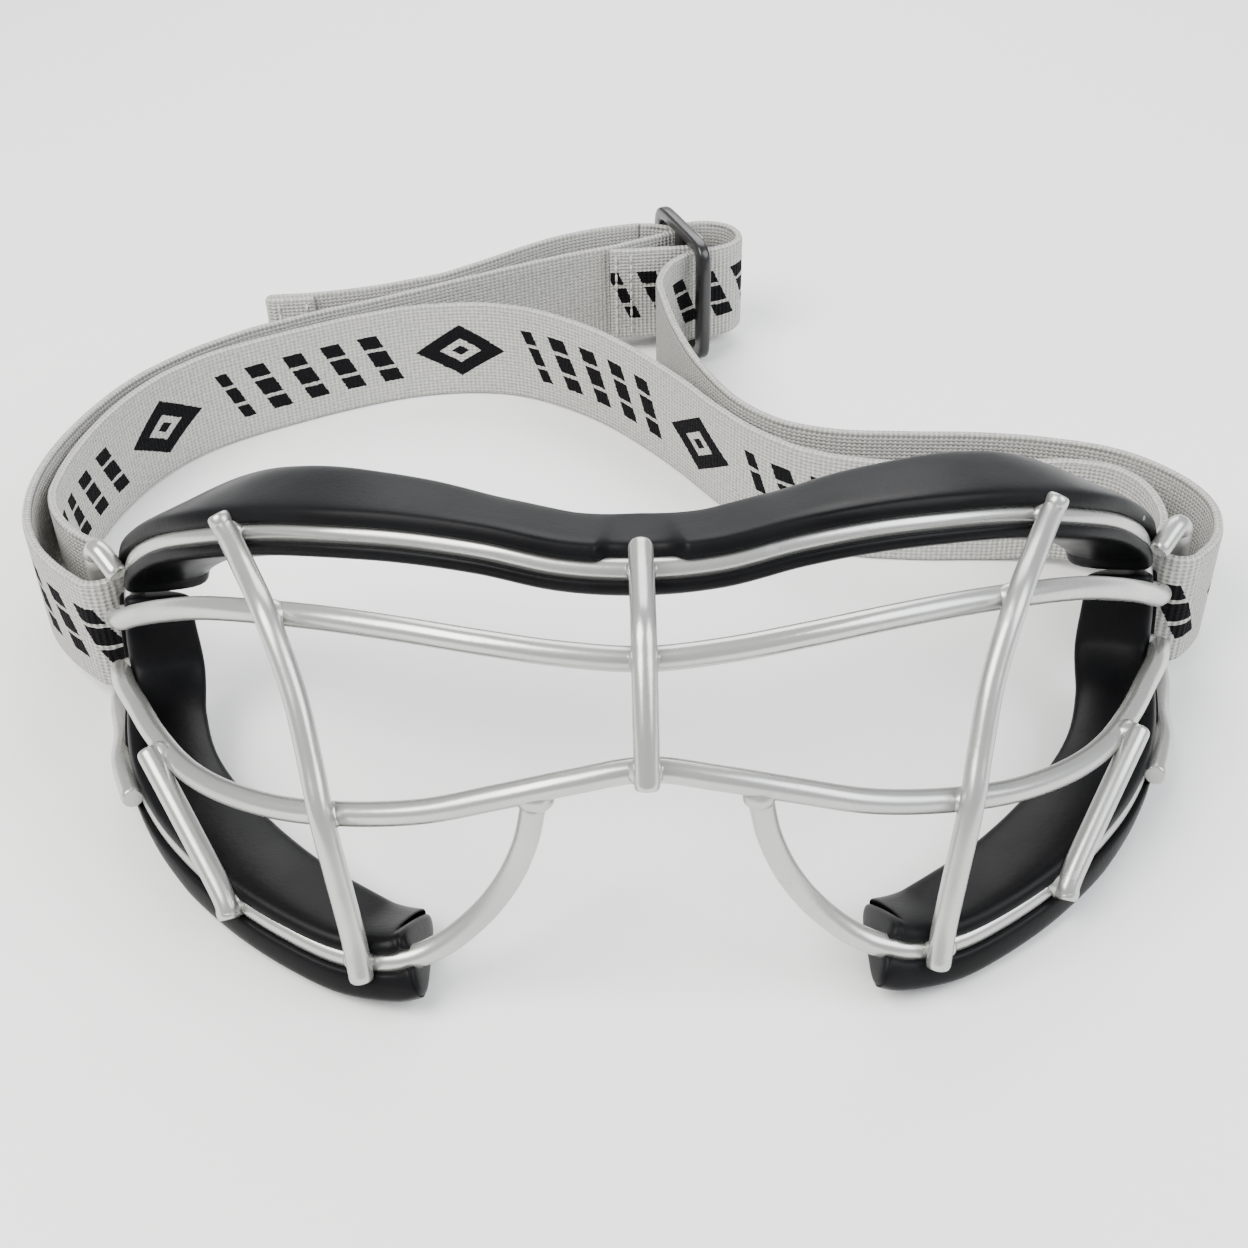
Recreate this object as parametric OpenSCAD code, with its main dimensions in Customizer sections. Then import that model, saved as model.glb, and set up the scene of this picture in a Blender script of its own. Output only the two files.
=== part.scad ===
/* [Cage] */
// Distance between the outsides of the two temple wires
cage_width = 154; // [130:1:190]
// Height of the brow wire's ends above the cheek wire, worn upright
cage_height = 55; // [45:1:70]
// Depth from the cheek wire back to the temples, worn upright
cage_depth = 44; // [36:1:54]
// Diameter of the coated steel wire
wire_d = 3.2; // [2.6:0.1:4]
// How far the wires sink into each other where they are welded
weld_sink = 0.25; // [0.1:0.05:0.4]
// Radius of the bead of metal at a weld
bead_r = 1.95; // [1.7:0.05:2.2]

/* [Pads] */
// How far the rubber pads reach back from the wire towards the face
pad_depth = 11; // [8:0.5:14]
// Height of the rubber above the wire at the front of the brow pad
brow_lip = 3.8; // [3:0.1:5.5]
// Height of the rubber below the wire along the cheek pads
cheek_lip = 5.6; // [4:0.1:7]
// Width of the groove that shows the wire
groove_w = 2.3; // [1.6:0.1:2.8]
// How much smaller the groove's seat is than the wire, so that it grips
pad_grip = 0.1; // [0.02:0.01:0.3]

/* [Strap] */
// Width of the elastic webbing
strap_w = 20; // [15:1:25]
// Thickness of one layer of webbing
strap_t = 1.5; // [1:0.1:2.2]
// Reach of the strap's inner band behind the strap bars
strap_reach = 92; // [80:1:115]
// Free height of the looped webbing over the strap bars' lower legs, where they lie on the table
leg_gap = 0.8; // [0.5:0.1:2]
// Free space between the webbing and the bar inside a loop
loop_gap = 1.2; // [0.8:0.1:1.6]

/* [Slider] */
// Length of the slider along the webbing
slider_l = 25; // [23:1:32]
// Width of the slider's three upright bars
slider_bar = 3.6; // [2.5:0.1:4.5]
// Thickness of the slider
slider_t = 2.4; // [1.8:0.1:3.2]
// Space between the webbing's edges and the slider's rails
slider_gap = 0.6; // [0.3:0.1:1.5]
// Height of the slider's two rails
slider_rail = 2.6; // [2:0.1:4]

/* [Hidden] */
$fn = 32;

wire_r = wire_d / 2;
wire_pitch = wire_d - weld_sink;
// Height of the webbing over the table where it is looped on the bars
loop_z = wire_d + leg_gap;
wire_sides = 12;
wire_colour = [0.74, 0.74, 0.72];
rubber_colour = [0.07, 0.07, 0.08];
webbing_colour = [0.82, 0.82, 0.80];
thread_colour = [0.70, 0.70, 0.68];
plastic_colour = [0.05, 0.05, 0.05];

// ---- Points of the cage, worn upright: x to the side, y back, z up ----
// They are given for a cage 154 wide, 44 deep and 55 high, and follow those three sizes.
function cage_at(p) = [p.x * cage_width / 154, p.y * cage_depth / 44, p.z * cage_height / 55];
function left(points) = [for (p = points) [-p.x, p.y, p.z]];
function back_to_front(points) = [for (i = [len(points) - 1:-1:0]) points[i]];

// The temple corner is where the frame wire turns from the brow down the temple.
temple = [75.4, 44, 32];
// On a table the cage leans back until its temples sit this much above the cheek wire.
temple_rise = 5.7;
temple_at = cage_at(temple);
lean = atan2(temple_at.z, temple_at.y) - asin(temple_rise / norm([temple_at.y, temple_at.z]));
function leaned(p) = [p.x, p.y * cos(lean) + p.z * sin(lean), p.z * cos(lean) - p.y * sin(lean)];

// ---- Curves and frames ----
function unit(v) = v / norm(v);
// One point of the Catmull-Rom curve through a, b, c, d, between b and c
function knot(a, b, c, d, t) =
  0.5 * (2 * b + (c - a) * t + (2 * a - 5 * b + 4 * c - d) * t * t + (3 * b - a - 3 * c + d) * t * t * t);
function smooth(p, steps) = concat(
  [for (i = [0:len(p) - 2], k = [0:steps - 1])
    knot(p[max(i - 1, 0)], p[i], p[i + 1], p[min(i + 2, len(p) - 1)], k / steps)],
  [p[len(p) - 1]]
);
function tangent(p, i) = unit(p[min(i + 1, len(p) - 1)] - p[max(i - 1, 0)]);
// Turns a frame's side vector to the next tangent with no twist
function carried(side, t) = unit(side - (side * t) * t);
function sides(p) = [
  for (i = 0, s = carried([0.1, 0.2, 1], tangent(p, 0)); i < len(p);
    i = i + 1, s = i < len(p) ? carried(s, tangent(p, i)) : s) s
];
// Skin of a tube of rings, each with the same number of points, and flat ends
module skin(rings) {
  n = len(rings[0]);
  last = len(rings) - 1;
  polyhedron(
    points = [for (r = rings, q = r) q],
    faces = concat(
      [[for (k = [0:n - 1]) k]],
      [for (i = [0:last - 1], k = [0:n - 1])
        each [[i * n + k, (i + 1) * n + k, (i + 1) * n + (k + 1) % n],
              [i * n + k, (i + 1) * n + (k + 1) % n, i * n + (k + 1) % n]]],
      [[for (k = [n - 1:-1:0]) last * n + k]]
    ),
    convexity = 10
  );
}

// ---- Wires ----
// A ring of the wire round point c, with tangent t and side s
function wire_ring(c, t, s, r) = [
  for (k = [0:wire_sides - 1])
    let (a = 360 * k / wire_sides) c + r * (cos(a) * s + sin(a) * cross(t, s))
];
// A bent wire with rounded ends
module wire(points, steps = 4) {
  p = smooth(points, steps);
  s = sides(p);
  last = len(p) - 1;
  t0 = tangent(p, 0);
  t1 = tangent(p, last);
  skin(concat(
    [for (a = [70, 35]) wire_ring(p[0] - wire_r * sin(a) * t0, t0, s[0], wire_r * cos(a))],
    [for (i = [0:last]) wire_ring(p[i], tangent(p, i), s[i], wire_r)],
    [for (a = [35, 70]) wire_ring(p[last] + wire_r * sin(a) * t1, t1, s[last], wire_r * cos(a))]
  ));
}

// Right half of the frame wire, from the middle of the brow out to the temple, down, and in to the nose
brow_run = [
  [0, 4, 50.5], [10, 4.5, 51.2], [20, 6, 53.4], [30, 8.5, 54.8], [40, 12, 55.4], [50, 17.5, 55.4],
  [60, 24.5, 54.4], [68, 32.5, 52.8], [73.5, 39.5, 50]
];
temple_run = [[75.4, 43.2, 45.5], [75.8, 44, 39], temple];
cheek_run = [
  [74.8, 39, 25], [72, 31, 19], [67, 23, 14.2], [60.5, 15.8, 10.2], [53.5, 10, 6.6], [46.5, 5.6, 3.8],
  [39.5, 2, 1.8], [33, -0.6, 1.6]
];
nose_run = [[27, -1.8, 3.6], [21.5, -3.6, 8], [17.5, -5.8, 13.2], [15, -8, 18.6]];
nose_top = [13.2, -11, 26];
upper_run = [
  [0, -10, 41.4], [10, -9.5, 42.2], [20, -7.8, 43.6], [30, -4.8, 45], [40, -0.6, 46], [50, 5.6, 46.3],
  [58, 12, 46], [65, 19.5, 44.8], [71, 28, 43.2], [75.5, 36, 41.6]
];
lower_run = [
  [0, -12, 28.4], [9, -11.6, 27], [18, -10.2, 25], [27, -7.8, 22.9], [36, -4.2, 21.8], [45, 0.8, 21.3],
  [52, 5.6, 21.7], [58, 10.6, 22.7], [63, 15.8, 24.4], [68, 22.5, 27.2], [72, 29, 30], [75.6, 35.6, 32]
];
function sized(points) = [for (p = points) cage_at(p)];
function mirrored(half) = concat(back_to_front(left(half)), [for (i = [1:len(half) - 1]) half[i]]);
// A wire laid over another at point p lies so many pitches in front of it, along its outward normal.
function in_front(p, turn, pitches = 1) =
  cage_at(p) + pitches * wire_pitch * [sin(turn), -cos(turn), 0];

// The nose arc butts up against the lower crossbar.
nose_end = cage_at(nose_top) - wire_pitch * unit(cage_at(nose_top) - cage_at(nose_run[3]));
frame_points = mirrored(concat(sized(concat(brow_run, temple_run, cheek_run, nose_run)), [nose_end]));
// Both crossbars end on the outside of the temple wires.
upper_points = mirrored(concat(sized(upper_run), [in_front([75.6, 44, 41], 62)]));
lower_points = mirrored(concat(sized(lower_run), [in_front([75.5, 44, 33], 62)]));
// The centre bar lies in front of both crossbars, and its bent top on the brow wire.
centre_points = [
  in_front([0, 4, 53.5], 0), in_front([0, 0.5, 51], 0), in_front([0, -7.5, 46.5], 0),
  in_front(upper_run[0], 0), in_front([0, -11.6, 34], 0), in_front([0, -12, 27.4], 0)
];
side_points = [
  in_front([55, 21, 57], 25), in_front([54, 20.2, 55.4], 25), in_front([49.8, 10.2, 51.4], 20),
  in_front([46, 3.1, 46.3], 18), in_front([42.6, 0.2, 37], 15), in_front([40.8, -1.2, 28], 12),
  in_front([39.6, -2.2, 21.5], 12), in_front([38, -0.9, 12], 10), in_front([36.8, 0.2, 5], 10),
  in_front([36.2, 0.6, 0.4], 10)
];
strut_points = [
  in_front([65.1, 18.5, 25.4], 42), in_front([60.5, 15, 18], 38), in_front([54.8, 11, 8.2], 32),
  in_front([54, 10.4, 5.8], 32)
];
// Beads of weld metal, half way between each two wires
bead_points = concat(
  [in_front(upper_run[0], 0, 0.5), in_front(lower_run[0], 0, 0.5), in_front([0, 4.2, 50.9], 0, 0.5)],
  [for (p = [
    in_front([46, 3.1, 46.3], 18, 0.5), in_front([39.6, -2.2, 21.5], 12, 0.5),
    in_front([54, 20.1, 55.2], 25, 0.5), in_front([36.8, 0.6, 1.8], 10, 0.5),
    in_front([65, 18.4, 25.3], 42, 0.5), in_front([54, 10.4, 6.8], 32, 0.5),
    in_front([75.7, 44, 41], 62, 0.5), in_front([75.5, 44, 33], 62, 0.5),
    cage_at(nose_top) - wire_pitch * 0.5 * unit(cage_at(nose_top) - cage_at(nose_run[3]))
  ]) each [p, [-p.x, p.y, p.z]]]
);

// ---- Pads ----
// Section of a pad: n points out of the face, s along its front; rise lifts the ridge at the back,
// and relief sets the upper lip back round the top of the centre bar.
function brow_section(rise, relief) = let (g = groove_w / 2, w = wire_r - pad_grip, b = pad_depth) [
  [0.6, -3.3], [1.7, -2.9], [2.1, -2.2], [2.1, -g], [w * 0.7, -g],
  [0, -w], [-w * 0.7, -w * 0.7], [-w, 0], [-w * 0.7, w * 0.7], [0, w],
  [w * 0.7 - relief / 2, g], [2.1 - relief, g], [2.1 - relief, brow_lip - 0.8], [1.5 - relief, brow_lip],
  [min(0.3, 1.2 - relief) - b / 3, brow_lip + 0.45 * rise], [2 - b, brow_lip + rise], [0.4 - b, brow_lip + rise - 0.6],
  [-b, brow_lip - 2], [-b, -1.5], [1.5 - b, -3.6]
];
// A cheek pad is shallower, with a narrow lower lip, at the temple, where f is 0.
function cheek_section(f) = let (
  g = groove_w / 2, w = wire_r - pad_grip, b = pad_depth * min(1, 0.72 + 0.6 * f),
  lip = 2.8 + (cheek_lip - 2.8) * max(0, min(1, (f - 0.34) * 5))
) [
  [-0.8, -lip], [1.2, 0.4 - lip], [2, 1.3 - lip], [2.1, -g], [w * 0.7, -g],
  [0, -w], [-w * 0.7, -w * 0.7], [-w, 0], [-w * 0.7, w * 0.7], [0, w],
  [w * 0.7, g], [2.1, g], [2, 2.6], [1.2, 3.6],
  [-3, 4], [1.2 - b, 4.2], [-b, 3.6],
  [0.6 - b, 1.6], [-b * 0.6, -1.2], [-b * 0.25, 1 - lip]
];
// Outward direction of a pad at side distance x: straight ahead in the middle, 62 degrees at the temples
function outward(x) = let (a = 62 * sin(90 * min(1, abs(x) / (cage_width / 2)))) [sign(x) * sin(a), -cos(a), 0];
// Rings of a pad along points in the upright frame; flip mirrors the section for a run that goes the other way
function pad_rings(p, sections, flip) = [
  for (i = [0:len(p) - 1])
    let (t = tangent(p, i), o = unit(outward(p[i].x) - (outward(p[i].x) * t) * t), s = flip * cross(o, t))
    let (ring = [for (q = sections[i]) p[i] + q.x * o + q.y * s])
    flip > 0 ? back_to_front(ring) : ring
];
function seated_rings(rings) = [for (r = rings) [for (q = r) leaned(q)]];

pad_steps = 4;
// The brow pad runs a little past the temple corners.
brow_pad_points = smooth(mirrored(sized(concat(brow_run, [[75, 42.4, 47.4]]))), pad_steps);
function brow_rise(x) = lookup(abs(x) * 154 / cage_width, [
  [0, 3.2], [10, 2.6], [20, 1.9], [34, 3.7], [45, 4.8], [57, 5.6], [66, 4.6], [76, 2.6]
]);
relief_r = 5.4;
function brow_relief(x) = abs(x) < relief_r ? 3.2 * sqrt(1 - pow(x / relief_r, 2)) : 0;
brow_rings = pad_rings(
  brow_pad_points, [for (p = brow_pad_points) brow_section(brow_rise(p.x), brow_relief(p.x))], 1
);

// A cheek pad runs from below the temple corner to the nose end of the cheek run.
cheek_pad_half = concat([[75.6, 43.5, 43.8], temple_run[1], temple], cheek_run, [[30.6, -1.1, 2.2]]);
cheek_pad_points = smooth(sized(cheek_pad_half), pad_steps);
cheek_rings = pad_rings(
  cheek_pad_points, [for (i = [0:len(cheek_pad_points) - 1]) cheek_section(i / (len(cheek_pad_points) - 1))], -1
);

// The cage stands on its cheek pads: its lowest rubber touches the table at z = 0.
low = min([for (r = cheek_rings, q = r) leaned(q).z]);
front_y = 1;
function seated(p) = leaned(p) + [0, front_y, -low];
module rest_pose() translate([0, front_y, -low]) rotate([-lean, 0, 0]) children();

// ---- Strap bars and webbing, where they lie on the table ----
// The webbing's outside on a bar. A bar stands this far off, so the loop keeps clear of the cheek pad's upper end.
loop_r = wire_r + loop_gap + strap_t;
bar_top = loop_z + strap_w + 2.6;
// Webbing taller than the corner that the bar leads to needs the bar further back.
bar_back = 0.6 * max(0, strap_w - 20);
bar_x = temple_at.x + wire_pitch + loop_r - 0.9;
bar_y = seated(cage_at([75.6, 43.5, 43.8])).y + loop_r + bar_back - 0.1694;
// Webbing layers leave a bar at this angle, outwards from straight back
leave = 48;
layer_r = wire_r + loop_gap + strap_t / 2;

// ---- Webbing: points are x, y, and the part of the lift that the edge stands over the table ----
// They are given for bars 82 to each side and 64.7 back, and follow the bars and the strap's reach.
function strap_at(p, lift) = [
  p.x * bar_x / 82, bar_y + (p.y - 64.7) * strap_reach / 92, p.z * lift
];
function strap_points(points, lift) = [for (p = points) strap_at(p, lift)];
// The U-turn round a bar, on the side that faces the nose; side is -1 on the left
function bar_turn(side) = [
  for (a = [-132:22.5:48]) [side * (bar_x - layer_r * cos(a)), bar_y + layer_r * sin(a), loop_z]
];
slider_lift = slider_rail + slider_gap;
slider_h = strap_w + 2 * slider_lift;
slider_turn = 21;
slider_mid = strap_at([11.3, 176, 0], 0);
// A point s along the slider and n to its right, at the height of the webbing's edge
function by_slider(s, n) = slider_mid
  + [n * cos(slider_turn) - s * sin(slider_turn), s * cos(slider_turn) + n * sin(slider_turn), slider_lift];

left_outer = [
  [-99, 103, 0.35], [-99.2, 95, 0.55], [-98.3, 86.5, 0.8], [-96.4, 78.5, 0.95], [-93.2, 71.6, 1],
  [-89, 66.3, 1]
];
left_inner = [
  [-82.6, 71.2, 1], [-86.3, 73.7, 1], [-89.3, 76.4, 1], [-92.2, 80.6, 0.95], [-94.2, 85.2, 0.75],
  [-95.6, 90, 0.5], [-96.4, 95.5, 0.2], [-96.7, 101, 0]
];
back_band = [
  [-96.7, 101, 0], [-95.4, 109.5, 0], [-93.3, 117, 0], [-90.4, 124, 0], [-86, 131, 0], [-80, 137.1, 0],
  [-73, 141.8, 0], [-66, 145.6, 0], [-59, 149.1, 0], [-51.5, 152.3, 0], [-44, 154.7, 0], [-36.5, 155.8, 0],
  [-28.5, 155.7, 0], [-21, 153.8, 0], [-13.5, 149.6, 0], [-5.6, 143.2, 0], [1.8, 134.8, 0], [8.9, 125, 0],
  [15.5, 114.4, 0], [21.6, 106.6, 0], [28.4, 100.7, 0], [38, 96.8, 0], [50, 95.2, 0], [60, 94.8, 0]
];
right_inner = [
  [60, 94.8, 0], [67, 93.9, 0.2], [72.8, 92, 0.45], [78, 88.2, 0.75], [81, 82.8, 0.95], [82.2, 76.8, 1],
  [81.6, 71, 1]
];
right_outer = [
  [87.6, 65.5, 1], [89.6, 69.6, 1], [90.4, 75, 1], [89.7, 81.5, 0.8], [87.2, 88, 0.55]
];
left_band = [
  [-99, 103, 0.35], [-97.6, 112.6, 0.15], [-94.9, 122, 0], [-91.2, 129.3, 0], [-86.4, 135.6, 0],
  [-80.5, 141.4, 0], [-73.8, 146.6, 0], [-66.5, 150.9, 0], [-59.3, 154.5, 0], [-52, 157.6, 0],
  [-44.5, 160.4, 0.1], [-29.5, 165.4, 0.45], [-15, 169.6, 0.85]
];
right_band = [
  [87.2, 88, 0.55], [83.5, 93.2, 0.4], [78.5, 97.4, 0.25], [72.5, 100.6, 0.1], [62, 103.6, 0],
  [48, 104.8, 0], [38, 105.6, 0], [30, 107.6, 0], [24.3, 111, 0], [18.4, 117.8, 0], [12.6, 129.5, 0.2],
  [8.6, 141, 0.7]
];
tail_run = [
  [-13.6, 179.6, 0.8], [-21.8, 176.4, 0.5], [-30, 172.4, 0.2], [-37.7, 168.8, 0], [-45.5, 165.8, 0],
  [-54, 163.2, 0], [-62.6, 161.6, 0], [-70.3, 161, 0]
];

// Sideways direction of a path at point i, level with the table
function level_side(p, i) = let (t = tangent(p, i)) unit([-t.y, t.x, 0]);
// A flat layer of webbing on edge along smoothed points
module ribbon(points, steps = 3) {
  p = [for (q = smooth(points, steps)) [q.x, q.y, max(q.z, 0)]];
  skin([
    for (i = [0:len(p) - 1])
      let (n = level_side(p, i) * strap_t / 2, up = [0, 0, strap_w])
      [p[i] - n, p[i] + n, p[i] + n + up, p[i] - n + up]
  ]);
}
// The same layer lying flat on the table all the way, as a straight extrusion
module flat_ribbon(points, steps = 3) {
  p = smooth(points, steps);
  n = [for (i = [0:len(p) - 1]) level_side(p, i) * strap_t / 2];
  linear_extrude(strap_w)
    polygon(concat(
      [for (i = [0:len(p) - 1]) [p[i].x + n[i].x, p[i].y + n[i].y]],
      [for (i = [len(p) - 1:-1:0]) [p[i].x - n[i].x, p[i].y - n[i].y]]
    ));
}

// The webbing's sewn end goes through the far window, round the middle bar and back through the near one.
fold_r = slider_bar / 2 + 1.05 + strap_t / 2;
end_fold = concat(
  [by_slider(2.4, -15.5), by_slider(2.8, -9), by_slider(fold_r, -1)],
  [for (a = [90:-30:-90]) by_slider(fold_r * sin(a), fold_r * cos(a))],
  [by_slider(-fold_r, -1), by_slider(-1.4, -8.5), by_slider(2.35 - strap_t, -15.5)]
);
window_mid = slider_l / 2 - slider_bar / 2;
adjust_s = fold_r + strap_t + 1.1;
adjusting = [
  by_slider(-20.6, -13), by_slider(-15.4, -11.4), by_slider(-10.8, -8.2), by_slider(-7.9, -4.6),
  by_slider(-adjust_s, 0), by_slider(-6.6, 4), by_slider(-6, 8.2), by_slider(-3.4, 11.1),
  by_slider(0.8, 11.4), by_slider(4, 9.2), by_slider(5.9, 5.4), by_slider(adjust_s, 0),
  by_slider(8.6, -3.2), by_slider(9.6, -5.4)
];
tail_gap = 1.2;
tail_start = by_slider(9.6, -5.4) + tail_gap * unit(by_slider(10.2, -6.8) - by_slider(9.6, -5.4));

// The model's origin is under the middle of its box.
mid_x = (90.4 - 99.2) / 2 * bar_x / 82;
back_y = by_slider(slider_l / 2, 0).y;
mid_y = (back_y + front_y - 3.8) / 2;
module placed() translate([-mid_x, -mid_y, 0]) children();
module on_cage() placed() rest_pose() children();

// ---- Sub-parts ----
module frame_wire() color(wire_colour) on_cage() wire(frame_points, 3);
module upper_crossbar() color(wire_colour) on_cage() wire(upper_points, 2);
module lower_crossbar() color(wire_colour) on_cage() wire(lower_points, 2);
module centre_bar() color(wire_colour) on_cage() wire(centre_points);
module right_side_bar() color(wire_colour) on_cage() wire(side_points, 3);
module left_side_bar() color(wire_colour) on_cage() wire(left(side_points), 3);
module right_cheek_strut() color(wire_colour) on_cage() wire(strut_points, 3);
module left_cheek_strut() color(wire_colour) on_cage() wire(left(strut_points), 3);
module weld_beads() color(wire_colour) on_cage()
  for (p = bead_points) translate(p) sphere(bead_r, $fn = 24);

// The bar stands upright in the webbing's loop, with a leg to the temple corner and one to the cheek run.
function strap_bar_points() = let (
  corner = seated(in_front([74.9, 42, 48.2], 60)),
  cheek = seated(in_front([70.4, 28.2, 17.4], 60))
) [
  cheek, [bar_x - 5.2, bar_y - 23, wire_r + 3.6], [bar_x - 3.4, bar_y - 15, wire_r + 1.8], [bar_x - 0.8, bar_y - 6.5, wire_r + 0.3],
  [bar_x, bar_y - 1.8, wire_r + 0.4], [bar_x, bar_y, wire_r + 2.6], [bar_x, bar_y, bar_top / 2],
  [bar_x, bar_y, bar_top - 1.5], [bar_x - 0.4, bar_y - 0.6, bar_top + 0.8],
  [bar_x - 1.8, bar_y - 2, bar_top + 1.8], corner
];
module right_strap_bar() color(wire_colour) placed() wire(strap_bar_points());
module left_strap_bar() color(wire_colour) placed() wire(left(strap_bar_points()));

module brow_pad() color(rubber_colour) on_cage() skin(brow_rings);
module right_cheek_pad() color(rubber_colour) on_cage() skin(cheek_rings);
module left_cheek_pad() color(rubber_colour) on_cage() mirror([1, 0, 0]) skin(cheek_rings);

module strap_back_band() color(webbing_colour) placed() flat_ribbon(strap_points(back_band, 0));
module strap_left_loop() color(webbing_colour) placed()
  ribbon(concat(strap_points(left_outer, loop_z), bar_turn(-1), strap_points(left_inner, loop_z)), 2);
module strap_right_loop() color(webbing_colour) placed()
  ribbon(concat(strap_points(right_inner, loop_z), back_to_front(bar_turn(1)),
    strap_points(right_outer, loop_z)), 2);
module strap_left_band() color(webbing_colour) placed() ribbon(concat(
  [strap_at(left_band[0], loop_z)],
  [for (i = [1:len(left_band) - 1]) strap_at(left_band[i], i < 6 ? loop_z : slider_lift)],
  [by_slider(2.4, -15.5)]
));
module strap_right_band() color(webbing_colour) placed() ribbon(concat(
  [for (i = [0:len(right_band) - 1]) strap_at(right_band[i], i < 6 ? loop_z : slider_lift)],
  [by_slider(-20.6, -13)]
));
module strap_end_fold() color(webbing_colour) placed() ribbon(end_fold, 2);
module strap_adjusting_loop() color(webbing_colour) placed() ribbon(adjusting);
tail_points = concat([tail_start, by_slider(11, -13)], strap_points(tail_run, slider_lift));
module strap_tail() color(webbing_colour) placed() ribbon(tail_points);

// The hem is the tail's end folded over once, on the side of the band.
hem_len = 8;
hem_end = tail_points[len(tail_points) - 1];
hem_dir = unit(tail_points[len(tail_points) - 2] - hem_end);
hem_off = strap_t * [-hem_dir.y, hem_dir.x, 0];
function hem_side() = hem_off.y < 0 ? hem_off : -hem_off;
module tail_hem() color(webbing_colour) placed()
  ribbon([hem_end + hem_side(), hem_end + hem_side() + hem_len * hem_dir], 1);

// Rows of thread: short stitches that stand a little proud of the webbing
thread_r = 0.3;
stitch_count = 7;
module stitch_row(p, n) {
  step = (strap_w - 3) / stitch_count;
  for (i = [0:stitch_count - 1])
    translate(p + n * (strap_t / 2 + thread_r * 0.4) + [0, 0, 1.5 + (i + 0.15) * step])
      cylinder(r = thread_r, h = step * 0.7, $fn = 16);
}
seam_dir = unit(by_slider(-1.4, -8.5) - by_slider(2.35 - strap_t, -15.5));
module end_stitching() color(thread_colour) placed() {
  seam = by_slider(2.35 - strap_t, -15.5);
  n = [seam_dir.y, -seam_dir.x, 0];
  for (d = [1.2, 4.2]) stitch_row(seam + d * seam_dir, n);
}
module hem_stitching() color(thread_colour) placed() {
  n = unit(hem_side());
  for (d = [1.2, hem_len - 1.4]) stitch_row(hem_end + hem_side() + d * hem_dir, n);
}

// One moulded tri-glide: an upright plate with two windows for the webbing
module slider() color(plastic_colour) placed()
  translate([slider_mid.x, slider_mid.y, 0]) rotate([0, 0, slider_turn]) rotate([90, 0, 90])
    translate([0, 0, -slider_t / 2]) linear_extrude(slider_t) difference() {
      translate([-slider_l / 2, 0]) square([slider_l, slider_h]);
      for (side = [-1, 1])
        translate([side * window_mid / 2 - (window_mid - slider_bar) / 2, slider_rail])
          square([window_mid - slider_bar, slider_h - 2 * slider_rail]);
    }

frame_wire();
upper_crossbar();
lower_crossbar();
centre_bar();
left_side_bar();
right_side_bar();
left_cheek_strut();
right_cheek_strut();
left_strap_bar();
right_strap_bar();
weld_beads();
brow_pad();
left_cheek_pad();
right_cheek_pad();
strap_back_band();
strap_left_loop();
strap_right_loop();
strap_left_band();
strap_right_band();
strap_end_fold();
strap_adjusting_loop();
strap_tail();
tail_hem();
end_stitching();
hem_stitching();
slider();
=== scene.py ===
import math

import bmesh
import bpy
import numpy as np
from mathutils import Matrix, Vector


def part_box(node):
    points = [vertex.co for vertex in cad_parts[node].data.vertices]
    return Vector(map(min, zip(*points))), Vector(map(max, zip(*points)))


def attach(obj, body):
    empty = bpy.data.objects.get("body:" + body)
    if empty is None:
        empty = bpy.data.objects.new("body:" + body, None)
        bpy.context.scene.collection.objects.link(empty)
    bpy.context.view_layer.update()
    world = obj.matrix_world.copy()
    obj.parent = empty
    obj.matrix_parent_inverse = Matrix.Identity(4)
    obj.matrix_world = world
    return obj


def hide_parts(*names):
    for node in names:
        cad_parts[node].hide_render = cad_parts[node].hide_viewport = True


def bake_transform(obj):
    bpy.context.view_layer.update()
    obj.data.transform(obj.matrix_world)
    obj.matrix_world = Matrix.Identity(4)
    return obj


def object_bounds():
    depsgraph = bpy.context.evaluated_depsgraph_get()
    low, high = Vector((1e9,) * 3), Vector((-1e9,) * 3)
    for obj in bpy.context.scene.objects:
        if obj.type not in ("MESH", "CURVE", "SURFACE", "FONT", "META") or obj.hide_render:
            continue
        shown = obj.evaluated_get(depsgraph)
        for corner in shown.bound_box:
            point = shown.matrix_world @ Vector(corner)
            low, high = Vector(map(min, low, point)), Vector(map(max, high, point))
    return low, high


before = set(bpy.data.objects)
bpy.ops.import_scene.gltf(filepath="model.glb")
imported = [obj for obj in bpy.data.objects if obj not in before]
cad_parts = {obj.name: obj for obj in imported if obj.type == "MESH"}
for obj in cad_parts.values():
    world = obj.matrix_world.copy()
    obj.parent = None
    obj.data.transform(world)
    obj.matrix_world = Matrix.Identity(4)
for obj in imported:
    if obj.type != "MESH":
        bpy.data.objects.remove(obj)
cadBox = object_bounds()
print("frame loaded")

mm = 0.001


# ---------- shapes ----------
# Sizes are in millimetres in the cage's own design place; intoPlace moves them to the frame, in metres.
cageFacts = {
    "wireRadius": 1.6,
    "pitch": 2.95,  # two welded wires, centre to centre
    "lean": 30.0136,  # degrees that the cage leans back on the table
    "seat": [0, 1, 5.076],  # lifts the leaned cage onto its cheek pads
    "wireSides": 28,
    "perSpan": 12,  # rings for each span between two points
}


def smoothRun(points, perSpan):
    # Catmull-Rom: each span is a cubic in t, and its slope at a point is half the chord of the neighbours
    p = np.asarray(points, float)
    wide = np.vstack([p[:1], p, p[-1:]])
    a, b, c, d = (wide[i : len(p) - 1 + i, None, :] for i in range(4))
    t = (np.arange(perSpan) / perSpan)[None, :, None]
    spans = 0.5 * (2 * b + (c - a) * t + (2 * a - 5 * b + 4 * c - d) * t**2 + (3 * b - a - 3 * c + d) * t**3)
    return np.vstack([spans.reshape(-1, 3), p[-1:]])


def unit(v):
    return v / np.maximum(np.linalg.norm(v, axis=-1, keepdims=True), 1e-12)


def alongPath(path):
    return unit(np.gradient(path, axis=0))


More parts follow.
